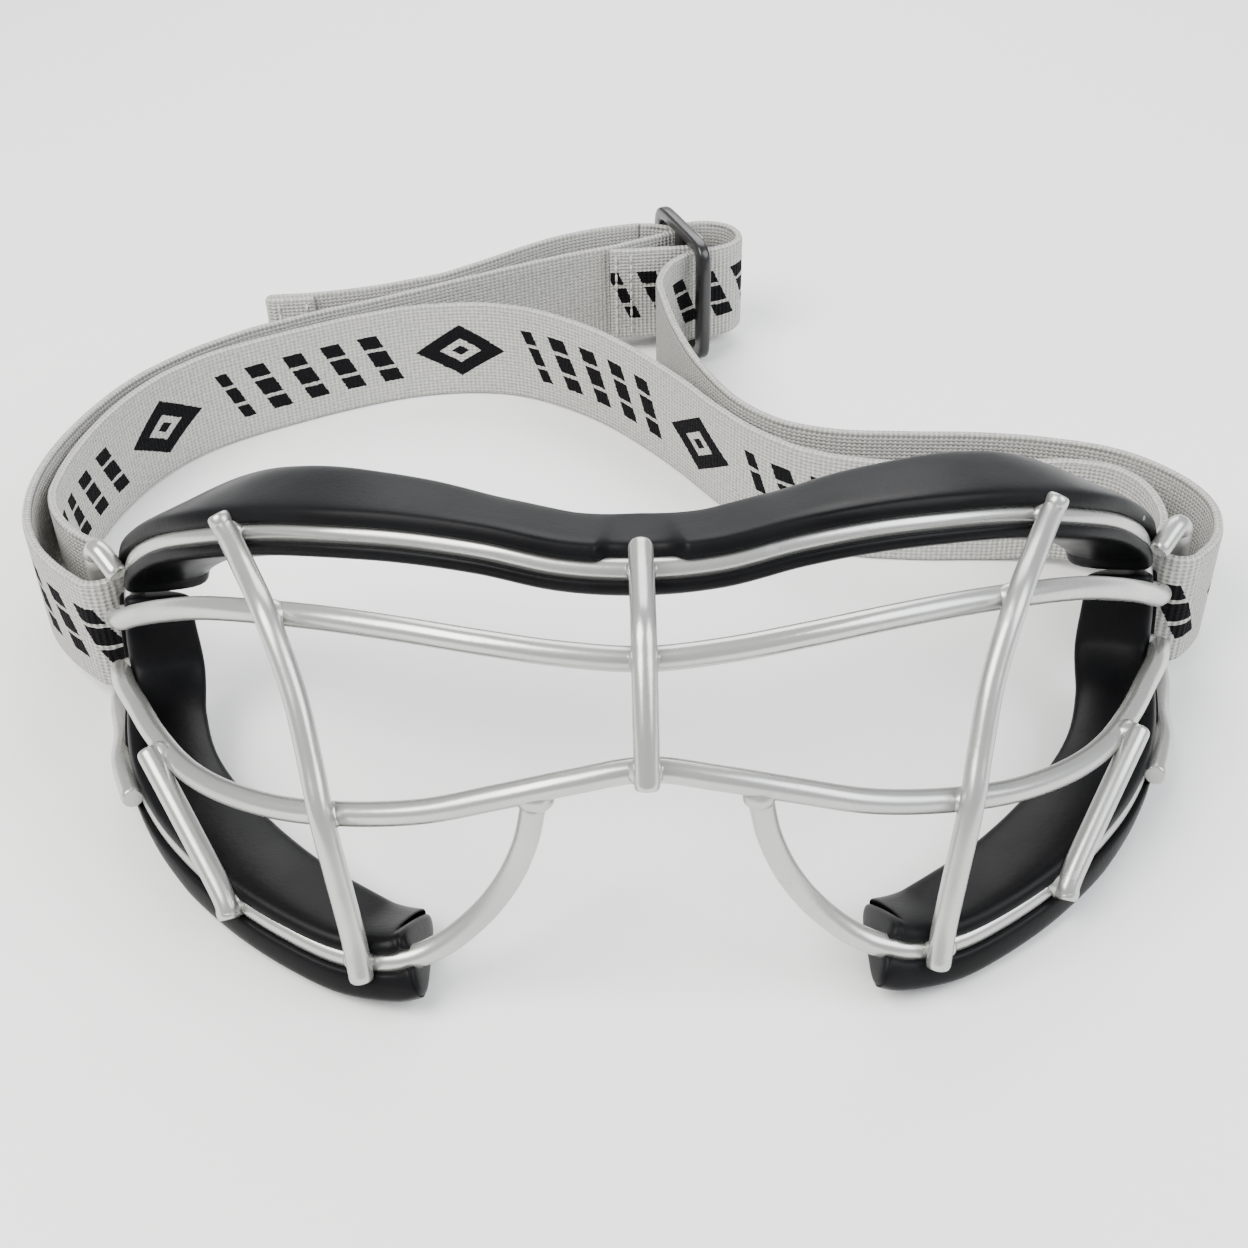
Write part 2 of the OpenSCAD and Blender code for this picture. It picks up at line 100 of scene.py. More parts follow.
def carriedSides(path):
    # each side vector is the one before it with its part along the new tangent taken away
    tangents = alongPath(path)
    sides = np.zeros_like(path)
    side = np.array([0.1, 0.2, 1.0])
    for i, t in enumerate(tangents):
        side = side - (side @ t) * t
        side = side / np.linalg.norm(side)
        sides[i] = side
    return tangents, sides


def tubeGrid(path, radius, sides, endRound=0.55):
    # rings of circle points, centre + r (cos a side + sin a other), with two smaller rings past each end
    tangents, side = carriedSides(path)
    other = np.cross(tangents, side)
    r = np.broadcast_to(np.asarray(radius, float), (len(path),)).copy()
    bends = np.radians([78, 52, 26])
    head = [path[0] - tangents[0] * r[0] * endRound * math.sin(b) for b in bends]
    tail = [path[-1] + tangents[-1] * r[-1] * endRound * math.sin(b) for b in bends[::-1]]
    shrink = (0.72 + 0.28 * np.cos(bends) ** 0.7)
    centres = np.vstack([head, path, tail])
    r = np.concatenate([r[0] * shrink, r, r[-1] * shrink[::-1]])
    side = np.vstack([np.repeat(side[:1], 3, 0), side, np.repeat(side[-1:], 3, 0)])
    other = np.vstack([np.repeat(other[:1], 3, 0), other, np.repeat(other[-1:], 3, 0)])
    a = np.linspace(0, 2 * np.pi, sides, endpoint=False)
    return centres[:, None] + r[:, None, None] * (
        np.cos(a)[None, :, None] * side[:, None] + np.sin(a)[None, :, None] * other[:, None]
    )


def leaned(points):
    # turned back about the x axis by the lean, then lifted to its seat
    p = np.asarray(points, float)
    c, s = math.cos(math.radians(cageFacts["lean"])), math.sin(math.radians(cageFacts["lean"]))
    turned = np.stack([p[..., 0], p[..., 1] * c + p[..., 2] * s, p[..., 2] * c - p[..., 1] * s], -1)
    return turned + np.array(cageFacts["seat"])


def gridFaces(rows, across, closedRows=False):
    # quads between each ring and the next, each ring closed on itself
    i = np.arange(rows if closedRows else rows - 1)[:, None]
    k = np.arange(across)[None, :]
    j, l = (i + 1) % rows, (k + 1) % across
    quads = np.stack([i * across + k, j * across + k, j * across + l, i * across + l], -1)
    return quads.reshape(-1, 4).tolist()


def pieceFromGrids(name, grids, material, closedRows=False, uvs=None):
    # joins closed-ring grids into one mesh, with flat ends unless the rows close too
    verts, faces, wrapped = [], [], []
    start = 0
    for n, grid in enumerate(grids):
        rows, across = grid.shape[:2]
        quads = gridFaces(rows, across, closedRows)
        faces += [[v + start for v in q] for q in quads]
        if uvs is not None:
            wrapped.append(loopUvs(uvs[n], rows, across))
        if not closedRows:
            faces.append([start + v for v in range(across)])
            faces.append([start + (rows - 1) * across + v for v in range(across - 1, -1, -1)])
            if uvs is not None:
                wrapped.append(np.zeros((2 * across, 2)))
        verts.append(grid.reshape(-1, 3))
        start += rows * across
    mesh = bpy.data.meshes.new(name)
    mesh.from_pydata(np.vstack(verts).tolist(), [], faces)
    mesh.polygons.foreach_set("use_smooth", [len(f) == 4 for f in faces])
    if uvs is not None:
        layer = mesh.uv_layers.new(name="cloth")
        layer.data.foreach_set("uv", np.vstack(wrapped).ravel())
    faceOutwards(mesh)
    mesh.materials.append(material)
    piece = bpy.data.objects.new(name, mesh)
    bpy.context.scene.collection.objects.link(piece)
    return piece


def loopUvs(uv, rows, across):
    # uv has one more column than the ring, so that the last quad doesn't run back to the first
    i = np.arange(rows - 1)[:, None]
    k = np.arange(across)[None, :]
    corners = [uv[i, k], uv[i + 1, k], uv[i + 1, k + 1], uv[i, k + 1]]
    return np.stack(corners, 2).reshape(-1, 2)


def faceOutwards(mesh):
    shell = bmesh.new()
    shell.from_mesh(mesh)
    if shell.calc_volume(signed=True) < 0:
        bmesh.ops.reverse_faces(shell, faces=shell.faces[:])
    shell.to_mesh(mesh)
    shell.free()


def boxCentre(node):
    low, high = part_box(node)
    return np.array((low + high) / 2) / mm


# ---------- shader sums ----------
class Sum:
    # wraps a socket, so that an expression on values adds its Math nodes
    def __init__(self, tree, socket):
        self.tree, self.socket = tree, socket

    def maths(self, operation, a, b=None):
        node = self.tree.nodes.new("ShaderNodeMath")
        node.operation = operation
        for slot, value in zip(node.inputs, (a, b)):
            feed(self.tree, slot, value)
        return Sum(self.tree, node.outputs[0])

    def __add__(self, b):
        return self.maths("ADD", self, b)

    def __sub__(self, b):
        return self.maths("SUBTRACT", self, b)

    def __mul__(self, b):
        return self.maths("MULTIPLY", self, b)

    def __rsub__(self, a):
        return self.maths("SUBTRACT", a, self)

    def __mod__(self, b):
        return self.maths("FLOORED_MODULO", self, b)

    def __lt__(self, b):
        return self.maths("LESS_THAN", self, b)

    def __gt__(self, b):
        return self.maths("GREATER_THAN", self, b)

    __radd__, __rmul__ = __add__, __mul__

    def sine(self):
        return self.maths("SINE", self)

    def size(self):
        return self.maths("ABSOLUTE", self)


def feed(tree, slot, value):
    if value is None:
        return
    if isinstance(value, Sum):
        tree.links.new(value.socket, slot)
    else:
        slot.default_value = value


class Finish:
    # one material, with one method for any node
    def __init__(self, name, **fixed):
        self.material = bpy.data.materials.new(name)
        self.material.use_nodes = True
        self.tree = self.material.node_tree
        self.shader = self.tree.nodes["Principled BSDF"]
        for socket, value in fixed.items():
            self.shader.inputs[socket].default_value = value

    def node(self, kind, out=0, settings={}, **sockets):
        made = self.tree.nodes.new("ShaderNode" + kind)
        for key, value in settings.items():
            if key == "stops":
                ramp = made.color_ramp
                for place, shade in value[2:]:
                    ramp.elements.new(place)
                for element, (place, shade) in zip(ramp.elements, sorted(value)):
                    element.position, element.color = place, (*shade, 1)
            else:
                setattr(made, key, value)
        for key, value in sockets.items():
            place = int(key[1:]) if key[0] == "i" and key[1:].isdigit() else key.replace("_", " ")
            feed(self.tree, made.inputs[place], value)
        return Sum(self.tree, made.outputs[out])

    def place(self):
        return self.node("TexCoord", out=3)

    def noise(self, where, scale, detail=3.0, roughness=0.5):
        return self.node("TexNoise", Vector=where, Scale=scale, Detail=detail, Roughness=roughness)

    def ramp(self, value, *stops):
        return self.node("ValToRGB", settings={"stops": list(stops)}, i0=value)

    def mix(self, share, a, b):
        return self.node("Mix", out=2, settings={"data_type": "RGBA"}, i0=share, i6=a, i7=b)

    def bump(self, height, distance, strength=1.0):
        return self.node("Bump", Height=height, Distance=distance, Strength=strength)

    def give(self, **sockets):
        for key, value in sockets.items():
            feed(self.tree, self.shader.inputs[key.replace("_", " ")], value)
        return self.material


def rgb(r, g, b):
    return (r, g, b, 1)


wireLook = {
    "grey": rgb(0.50, 0.50, 0.475),
    "shade": rgb(0.38, 0.385, 0.385),
    "scuff": rgb(0.36, 0.36, 0.35),
    "metal": 0.72,
    "roughness": 0.25,
}


def coatedWireFinish():
    f = Finish("coatedWire", Metallic=wireLook["metal"])
    where = f.place()
    cloud = f.noise(where, 45, 3)
    fine = f.noise(where, 900, 4, 0.6)
    pits = f.noise(where, 260, 2)
    smooth, dull = wireLook["roughness"] - 0.05, wireLook["roughness"] + 0.12
    rough = f.ramp(cloud, (0.3, (smooth,) * 3), (0.75, (dull,) * 3))
    shade = f.mix(f.ramp(cloud, (0.35, (0, 0, 0)), (0.8, (1, 1, 1))), wireLook["grey"], wireLook["shade"])
    scuff = f.ramp(pits, (0.66, (0, 0, 0)), (0.76, (1, 1, 1)))
    shade = f.mix(scuff * 0.35, shade, wireLook["scuff"])
    relief = f.bump(cloud * 0.6 + fine * 0.25, 0.00012, 0.5)
    return f.give(Base_Color=shade, Roughness=rough + scuff * 0.15, Normal=relief)


padLook = {"black": rgb(0.003, 0.003, 0.0035), "worn": rgb(0.006, 0.0062, 0.0072), "roughness": 0.36}


def padRubberFinish():
    f = Finish("padRubber")
    f.shader.inputs["Specular IOR Level"].default_value = 0.10
    where = f.place()
    cloud = f.noise(where, 60, 4)
    grain = f.noise(where, 1500, 3, 0.6)
    soft = f.noise(where, 140, 2)
    dust = f.node("TexVoronoi", Vector=where, Scale=190.0)
    speck = f.ramp(dust, (0.055, (1, 1, 1)), (0.085, (0, 0, 0)))
    few = f.ramp(f.noise(where, 95, 1), (0.60, (0, 0, 0)), (0.66, (1, 1, 1)))
    speck = speck * few
    shade = f.mix(f.ramp(cloud, (0.35, (0, 0, 0)), (0.75, (1, 1, 1))), padLook["black"], padLook["worn"])
    shade = f.mix(speck * 0.8, shade, rgb(0.32, 0.32, 0.31))
    smooth, dull = padLook["roughness"] - 0.06, padLook["roughness"] + 0.14
    rough = f.ramp(cloud, (0.3, (smooth,) * 3), (0.8, (dull,) * 3))
    relief = f.bump(grain * 0.3 + soft * 0.5, 0.00016, 0.6)
    return f.give(Base_Color=shade, Roughness=rough + speck * 0.3, Normal=relief)


clothLook = {
    "pale": rgb(0.56, 0.555, 0.525),
    "fleck": rgb(0.17, 0.168, 0.16),
    "ink": rgb(0.006, 0.006, 0.007),
    "ribPitch": 0.86,  # millimetres from one cross rib to the next
    "rowPitch": 0.72,
    "patternLength": 62.0,
}


def webbingFinish(name):
    # the cloth map holds millimetres along the strap and across it; the far face starts at 40
    f = Finish(name, Roughness=0.86)
    f.shader.inputs["Specular IOR Level"].default_value = 0.08
    cloth = f.node("UVMap", settings={"uv_map": "cloth"})
    u = f.node("SeparateXYZ", out=0, Vector=cloth)
    v = f.node("SeparateXYZ", out=1, Vector=cloth)
    rib = (u * (2 * math.pi / clothLook["ribPitch"])).sine()
    row = (v * (2 * math.pi / clothLook["rowPitch"]) + rib * 0.7).sine()
    weave = rib * 0.62 + row * 0.38
    across = f.node("VectorMath", settings={"operation": "MULTIPLY"}, i0=cloth, i1=(0.9, 1.5, 1.0))
    fleck = f.noise(across, 1.1, 4, 0.75)
    cloud = f.noise(cloth, 0.09, 2)
    dark = f.ramp(fleck, (0.46, (0, 0, 0)), (0.74, (1, 1, 1)))
    shade = f.mix(dark * 0.62, clothLook["pale"], clothLook["fleck"])
    # painted shade: the weave's low troughs, where the bump sinks, are mixed toward the dark fleck colour
    shade = f.mix(f.ramp(weave * 0.5 + 0.5, (0.0, (0.62,) * 3), (0.6, (0, 0, 0))), shade, clothLook["fleck"])
    shade = f.mix(f.ramp(cloud, (0.35, (0, 0, 0)), (0.75, (0.22,) * 3)), shade, rgb(0.50, 0.49, 0.46))
    shade = f.mix(wovenPattern(u, v, fleck), shade, clothLook["ink"])
    return f.give(Base_Color=shade, Normal=f.bump(weave * 0.6 + fleck * 0.5, 0.00035, 0.9))


def wovenPattern(u, v, fleck):
    # slanted bars and then a ring-cut lozenge, again and again; 1 where the dark yarn shows
    length = clothLook["patternLength"]
    wobble = (fleck - 0.5) * 0.7
    height = v - 10.0 + wobble
    along = (u + height * 0.45) % length
    near = height.size() < 5.2
    bar = ((along + wobble) % 7.6 < 3.9) * (along < 37.0) * (along > 1.5) * near
    reach = ((u % length) - 48.5 + wobble).size() * 0.62 + height.size()
    lozenge = (reach < 5.6) * (reach > 2.6) + (reach < 1.1)
    thin = ((height.size() - 2.1).size() > 0.35) * bar
    return (thin + lozenge) * (v < 21.0) * (v > 0.0)


def threadFinish():
    f = Finish("sewingThread", Roughness=0.8)
    where = f.place()
    twist = f.noise(where, 2600, 3)
    strands = f.ramp(twist, (0.4, (0, 0, 0)), (0.7, (1, 1, 1)))
    shade = f.mix(strands, rgb(0.62, 0.61, 0.58), rgb(0.42, 0.41, 0.39))
    return f.give(Base_Color=shade, Normal=f.bump(twist, 0.0001, 0.6))


def sliderFinish():
    f = Finish("sliderPlastic")
    f.shader.inputs["Coat Weight"].default_value = 0.15
    where = f.place()
    cloud = f.noise(where, 110, 3)
    fine = f.noise(where, 1800, 2)
    rough = f.ramp(cloud, (0.3, (0.26,) * 3), (0.8, (0.42,) * 3))
    worn = f.ramp(cloud, (0.4, (0, 0, 0)), (0.8, (1, 1, 1)))
    shade = f.mix(worn, rgb(0.005, 0.005, 0.006), rgb(0.012, 0.012, 0.013))
    return f.give(Base_Color=shade, Roughness=rough, Normal=f.bump(cloud * 0.5 + fine * 0.3, 0.0001, 0.5))


coatedWire = coatedWireFinish()
padRubber = padRubberFinish()
webbing = webbingFinish("elasticWebbing")
sewingThread = threadFinish()
sliderPlastic = sliderFinish()
print("finishes made")


# ---------- wires ----------
browRun = [
    [0, 4, 50.5], [10, 4.5, 51.2], [20, 6, 53.4], [30, 8.5, 54.8], [40, 12, 55.4], [50, 17.5, 55.4],
    [60, 24.5, 54.4], [68, 32.5, 52.8], [73.5, 39.5, 50],
]
temple = [75.4, 44, 32]
templeRun = [[75.4, 43.2, 45.5], [75.8, 44, 39], temple]
cheekRun = [
    [74.8, 39, 25], [72, 31, 19], [67, 23, 14.2], [60.5, 15.8, 10.2], [53.5, 10, 6.6], [46.5, 5.6, 3.8],
    [39.5, 2, 1.8], [33, -0.6, 1.6],
]
noseRun = [[27, -1.8, 3.6], [21.5, -3.6, 8], [17.5, -5.8, 13.2], [15, -8, 18.6]]
noseTop = [13.2, -11, 26]
upperRun = [
    [0, -10, 41.4], [10, -9.5, 42.2], [20, -7.8, 43.6], [30, -4.8, 45], [40, -0.6, 46], [50, 5.6, 46.3],
    [58, 12, 46], [65, 19.5, 44.8], [71, 28, 43.2], [75.5, 36, 41.6],
]
lowerRun = [
    [0, -12, 28.4], [9, -11.6, 27], [18, -10.2, 25], [27, -7.8, 22.9], [36, -4.2, 21.8], [45, 0.8, 21.3],
    [52, 5.6, 21.7], [58, 10.6, 22.7], [63, 15.8, 24.4], [68, 22.5, 27.2], [72, 29, 30], [75.6, 35.6, 32],
]


def inFront(point, turn, pitches=1):
    a = math.radians(turn)
    return list(np.array(point) + pitches * cageFacts["pitch"] * np.array([math.sin(a), -math.cos(a), 0]))


def leftSide(points):
    return np.asarray(points, float) * [-1, 1, 1]


def bothSides(half):
    half = np.asarray(half, float)
    return np.vstack([leftSide(half)[::-1], half[1:]])


noseStep = unit(np.array(noseTop, float) - noseRun[3])
noseEnd = list(np.array(noseTop) - cageFacts["pitch"] * noseStep)
sidePoints = [
    inFront([55, 21, 57], 25), inFront([54, 20.2, 55.4], 25), inFront([49.8, 10.2, 51.4], 20),
    inFront([46, 3.1, 46.3], 18), inFront([42.6, 0.2, 37], 15), inFront([40.8, -1.2, 28], 12),
    inFront([39.6, -2.2, 21.5], 12), inFront([38, -0.9, 12], 10), inFront([36.8, 0.2, 5], 10),
    inFront([36.2, 0.6, 0.4], 10),
]
strutPoints = [
    inFront([65.1, 18.5, 25.4], 42), inFront([60.5, 15, 18], 38), inFront([54.8, 11, 8.2], 32),
    inFront([54, 10.4, 5.8], 32),
]
centrePoints = [
    inFront([0, 4, 53.5], 0), inFront([0, 0.5, 51], 0), inFront([0, -7.5, 46.5], 0), inFront(upperRun[0], 0),
    inFront([0, -11.6, 34], 0), inFront([0, -12, 27.4], 0),
]
wires = {
    "frameWire": ("frame_wire", bothSides(browRun + templeRun + cheekRun + noseRun + [noseEnd])),
    "upperCrossbar": ("upper_crossbar", bothSides(upperRun + [inFront([75.6, 44, 41], 62)])),
    "lowerCrossbar": ("lower_crossbar", bothSides(lowerRun + [inFront([75.5, 44, 33], 62)])),
    "centreBar": ("centre_bar", centrePoints),
    "rightSideBar": ("right_side_bar", sidePoints),
    "leftSideBar": ("left_side_bar", leftSide(sidePoints)),
    "rightCheekStrut": ("right_cheek_strut", strutPoints),
    "leftCheekStrut": ("left_cheek_strut", leftSide(strutPoints)),
}

# The design's place in the row frame comes from where the frame wire's box stands.
framePath = leaned(smoothRun(wires["frameWire"][1], cageFacts["perSpan"]))
frameGrid = tubeGrid(framePath, cageFacts["wireRadius"], cageFacts["wireSides"])
frameMiddle = (frameGrid.reshape(-1, 3).min(0) + frameGrid.reshape(-1, 3).max(0)) / 2
shift = boxCentre("frame_wire") - frameMiddle


def intoPlace(grid):
    return (np.asarray(grid, float) + shift) * mm


def wirePiece(name, node, path):
    grid = tubeGrid(path, cageFacts["wireRadius"], cageFacts["wireSides"])
    piece = pieceFromGrids(name, [intoPlace(grid)], coatedWire)
    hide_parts(node)
    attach(piece, "cage")
    return piece


for name, (node, points) in wires.items():
    wirePiece(name, node, leaned(smoothRun(points, cageFacts["perSpan"])))

# Strap bars: upright in the webbing's loop, with one leg to the temple corner and one to the cheek run
strapFacts = {
    "width": 20.0,
    "thick": 1.5,
    "loopLift": 4.0,  # height over the table at the loops
    "gap": 1.2,  # free space round the bar inside a loop
    "drawnBar": (82, 64.7),  # where the bar stands in the webbing's own points
    "perSpan": 10,
    "edgeWave": 0.10,
}
barFacts = {"fromTemple": 6.35, "behindTemple": 9.6, "aboveCloth": 2.6}
barX = temple[0] + barFacts["fromTemple"]
barY = leaned(temple)[1] + barFacts["behindTemple"]
barTop = strapFacts["loopLift"] + strapFacts["width"] + barFacts["aboveCloth"]
corner = leaned(inFront([74.9, 42, 48.2], 60))
cheekEnd = leaned(inFront([70.4, 28.2, 17.4], 60))
radius = cageFacts["wireRadius"]
strapBarPoints = np.array([
    cheekEnd, [barX - 5.2, barY - 23, radius + 3.6], [barX - 3.4, barY - 15, radius + 1.8],
    [barX - 0.8, barY - 6.5, radius + 0.3], [barX, barY - 1.8, radius + 0.4], [barX, barY, radius + 2.6],
    [barX, barY, barTop / 2], [barX, barY, barTop - 1.5], [barX - 0.4, barY - 0.6, barTop + 0.8],
    [barX - 1.8, barY - 2, barTop + 1.8], corner,
])
wirePiece("rightStrapBar", "right_strap_bar", smoothRun(strapBarPoints, cageFacts["perSpan"]))
wirePiece("leftStrapBar", "left_strap_bar", smoothRun(leftSide(strapBarPoints), cageFacts["perSpan"]))
print("wires made")

# Weld metal: a lumpy bead at each crossing
weldFacts = {"radius": 1.95, "lump": 0.16, "rows": 18, "across": 22, "seed": 7}


def beadGrid(centre, draw):
    # a ball whose radius is 1 plus three slow waves over its two angles, a little longer across the front
    a = np.linspace(0.02, np.pi - 0.02, weldFacts["rows"])[:, None]
    b = np.linspace(0, 2 * np.pi, weldFacts["across"], endpoint=False)[None, :]
    phase = draw.uniform(0, 2 * np.pi, 4)
    wave = np.sin(2 * b + phase[0]) * np.sin(a) ** 2 + 0.6 * np.sin(3 * b + phase[1]) * np.sin(a) ** 3
    wave = wave + 0.7 * np.sin(3 * a + phase[2]) * np.sin(a) + 0.4 * np.sin(5 * b + phase[3]) * np.sin(a) ** 4
    r = weldFacts["radius"] * (0.98 + weldFacts["lump"] * 0.5 * wave)
    ball = np.stack([1.12 * np.sin(a) * np.cos(b), 0.86 * np.sin(a) * np.sin(b), np.cos(a) + 0 * b], -1)
    return np.asarray(centre) + r[..., None] * ball


beadPlaces = [
    inFront(upperRun[0], 0, 0.5), inFront(lowerRun[0], 0, 0.5), inFront([0, 4.2, 50.9], 0, 0.5),
]
sideBeads = np.array([
    inFront([46, 3.1, 46.3], 18, 0.5), inFront([39.6, -2.2, 21.5], 12, 0.5),
    inFront([54, 20.1, 55.2], 25, 0.5), inFront([36.8, 0.6, 1.8], 10, 0.5),
    inFront([65, 18.4, 25.3], 42, 0.5), inFront([54, 10.4, 6.8], 32, 0.5),
    inFront([75.7, 44, 41], 62, 0.5), inFront([75.5, 44, 33], 62, 0.5),
    list(np.array(noseTop) - 0.5 * cageFacts["pitch"] * noseStep),
])
draw = np.random.default_rng(weldFacts["seed"])
places = np.vstack([beadPlaces, sideBeads, leftSide(sideBeads)])
welds = pieceFromGrids("weldBeads", [intoPlace(leaned(beadGrid(p, draw))) for p in places], coatedWire)
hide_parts("weld_beads")
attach(welds, "cage")
print("welds made")

# ---------- pads ----------
padFacts = {
    "depth": 11.0,
    "browLip": 3.8,  # rubber above the wire
    "cheekLip": 5.6,  # rubber below the wire
    "groove": 2.3,
    "grip": 0.1,  # how much smaller the seat is than the wire
    "reliefRadius": 5.4,  # the half-round hollow at the centre bar's top
    "reliefDepth": 3.2,
    "fill": 0.95,
    "perSpan": 12,
    "endStep": 0.7,
}
groove = padFacts["groove"] / 2
seatR = radius - padFacts["grip"]


def browSection(rise, relief):
    lip, b = padFacts["browLip"], padFacts["depth"]
    return [
        [0.6, -3.3], [1.7, -2.9], [2.1, -2.2], [2.1, -groove], [seatR * 0.7, -groove],
        [0, -seatR], [-seatR * 0.7, -seatR * 0.7], [-seatR, 0], [-seatR * 0.7, seatR * 0.7], [0, seatR],
        [seatR * 0.7 - relief / 2, groove], [2.1 - relief, groove], [2.1 - relief, lip - 0.8],
        [1.5 - relief, lip],
        [min(0.3, 1.2 - relief) - b / 3, lip + 0.45 * rise], [2 - b, lip + rise], [0.4 - b, lip + rise - 0.6],
        [-b, lip - 2], [-b, -1.5], [1.5 - b, -3.6],
    ]


def cheekSection(f):
    b = padFacts["depth"] * min(1, 0.72 + 0.6 * f)
    lip = 2.8 + (padFacts["cheekLip"] - 2.8) * max(0, min(1, (f - 0.34) * 5))
    return [
        [-0.8, -lip], [1.2, 0.4 - lip], [2, 1.3 - lip], [2.1, -groove], [seatR * 0.7, -groove],
        [0, -seatR], [-seatR * 0.7, -seatR * 0.7], [-seatR, 0], [-seatR * 0.7, seatR * 0.7], [0, seatR],
        [seatR * 0.7, groove], [2.1, groove], [2, 2.6], [1.2, 3.6], [-3, 4], [1.2 - b, 4.2], [-b, 3.6],
        [0.6 - b, 1.6], [-b * 0.6, -1.2], [-b * 0.25, 1 - lip],
    ]


def outwardAt(x):
    a = np.radians(62 * np.sin(np.radians(90 * np.minimum(1, np.abs(x) / 77))))
    return np.stack([np.sign(x) * np.sin(a), -np.cos(a), 0 * a], -1)


def padGrid(path, sections, flip):
    # each ring: path point + n times the outward direction + s times the direction across it
    tangents = alongPath(path)
    out = outwardAt(path[:, 0])
    out = unit(out - (out * tangents).sum(-1, keepdims=True) * tangents)
    side = flip * np.cross(out, tangents)
    q = np.asarray(sections, float)
    rings = path[:, None] + q[..., :1] * out[:, None] + q[..., 1:] * side[:, None]
    return roundedEnds(rings, tangents)


def roundedEnds(rings, tangents):
    # smaller and smaller rings past each end, drawn in towards the ring's middle
    step = padFacts["endStep"]
    middle = rings.mean(1, keepdims=True)
    cap = ((0.97, 0.5), (0.89, 0.95), (0.72, 1.2), (0.4, 1.3), (0.08, 1.32))
    first = [middle[0] + (rings[0] - middle[0]) * k - tangents[0] * step * d for k, d in cap[::-1]]
    last = [middle[-1] + (rings[-1] - middle[-1]) * k + tangents[-1] * step * d for k, d in cap]
    return np.concatenate([first, rings, last])


browX = [0, 10, 20, 34, 45, 57, 66, 76]
browHeights = [3.2, 2.6, 1.9, 3.7, 4.8, 5.6, 4.6, 2.6]


def browReliefAt(x):
    # half an ellipse over the hollow's width, and nothing outside it
    share = x / padFacts["reliefRadius"]
    return padFacts["reliefDepth"] * math.sqrt(1 - share**2) if abs(share) < 1 else 0


def smoothLookup(x, places, heights):
    # linear steps, averaged over 8 mm so that the ridge has no corners
    spread = np.linspace(-4, 4, 9)
    return np.mean([np.interp(abs(x) + d, places, heights) for d in spread])


def padPiece(name, node, grid):
    piece = pieceFromGrids(name, [intoPlace(leaned(grid))], padRubber)
    fine = piece.modifiers.new("moulded", "SUBSURF")
    fine.levels = fine.render_levels = 2
    piece.data.polygons.foreach_set("use_smooth", [True] * len(piece.data.polygons))
    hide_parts(node)
    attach(piece, "cage")
    return piece


browPath = smoothRun(bothSides(browRun + [[75, 42.4, 47.4]]), padFacts["perSpan"])
browSections = [browSection(smoothLookup(p[0], browX, browHeights), browReliefAt(p[0])) for p in browPath]
padPiece("browPad", "brow_pad", padGrid(browPath, browSections, 1))
cheekHalf = [[75.6, 43.5, 43.8]] + templeRun[1:] + cheekRun + [[30.6, -1.1, 2.2]]
cheekPath = smoothRun(cheekHalf, padFacts["perSpan"])
cheekSections = [cheekSection(i / (len(cheekPath) - 1)) for i in range(len(cheekPath))]
cheekGrid = padGrid(cheekPath, cheekSections, -1)
padPiece("rightCheekPad", "right_cheek_pad", cheekGrid)
padPiece("leftCheekPad", "left_cheek_pad", leftSide(cheekGrid))
print("pads made")

# ---------- webbing ----------
sliderFacts = {
    "length": 25.0, "bar": 3.6, "thick": 2.4, "gap": 0.6, "rail": 2.6, "turn": 21.0,
    "outside": 6.0, "window": 18.0, "around": 160,  # squareness of the outline and of the opening
}
sliderLift = sliderFacts["rail"] + sliderFacts["gap"]
layerR = radius + strapFacts["gap"] + strapFacts["thick"] / 2


def strapAt(points, lift):
    # points drawn for a bar at drawnBar, carried to where it stands, with height as a share of the lift
    p = np.asarray(points, float)
    drawnX, drawnY = strapFacts["drawnBar"]
    return np.stack([p[:, 0] * barX / drawnX, barY + p[:, 1] - drawnY, p[:, 2] * lift], -1)


sliderMid = strapAt([[11.3, 176, 0]], 0)[0]


def bySlider(s, n):
    c, k = math.cos(math.radians(sliderFacts["turn"])), math.sin(math.radians(sliderFacts["turn"]))
    return [sliderMid[0] + n * c - s * k, sliderMid[1] + s * c + n * k, sliderLift]


def barTurn(side):
    a = np.radians(np.arange(-132, 49, 22.5))
    x, y = side * (barX - layerR * np.cos(a)), barY + layerR * np.sin(a)
    return np.stack([x, y, np.full_like(a, strapFacts["loopLift"])], -1)


leftOuter = [
    [-99, 103, 0.35], [-99.2, 95, 0.55], [-98.3, 86.5, 0.8], [-96.4, 78.5, 0.95], [-93.2, 71.6, 1],
    [-89, 66.3, 1],
]
leftInner = [
    [-82.6, 71.2, 1], [-86.3, 73.7, 1], [-89.3, 76.4, 1], [-92.2, 80.6, 0.95], [-94.2, 85.2, 0.75],
    [-95.6, 90, 0.5], [-96.4, 95.5, 0.2],
]
backBand = [
    [-96.7, 101, 0], [-95.4, 109.5, 0], [-93.3, 117, 0], [-90.4, 124, 0], [-86, 131, 0], [-80, 137.1, 0],
    [-73, 141.8, 0], [-66, 145.6, 0], [-59, 149.1, 0], [-51.5, 152.3, 0], [-44, 154.7, 0], [-36.5, 155.8, 0],
    [-28.5, 155.7, 0], [-21, 153.8, 0], [-13.5, 149.6, 0], [-5.6, 143.2, 0], [1.8, 134.8, 0], [8.9, 125, 0],
    [15.5, 114.4, 0], [21.6, 106.6, 0], [28.4, 100.7, 0], [38, 96.8, 0], [50, 95.2, 0], [60, 94.8, 0],
]
rightInner = [
    [67, 93.9, 0.2], [72.8, 92, 0.45], [78, 88.2, 0.75], [81, 82.8, 0.95], [82.2, 76.8, 1], [81.6, 71, 1],
]
rightOuter = [[87.6, 65.5, 1], [89.6, 69.6, 1], [90.4, 75, 1], [89.7, 81.5, 0.8], [87.2, 88, 0.55]]
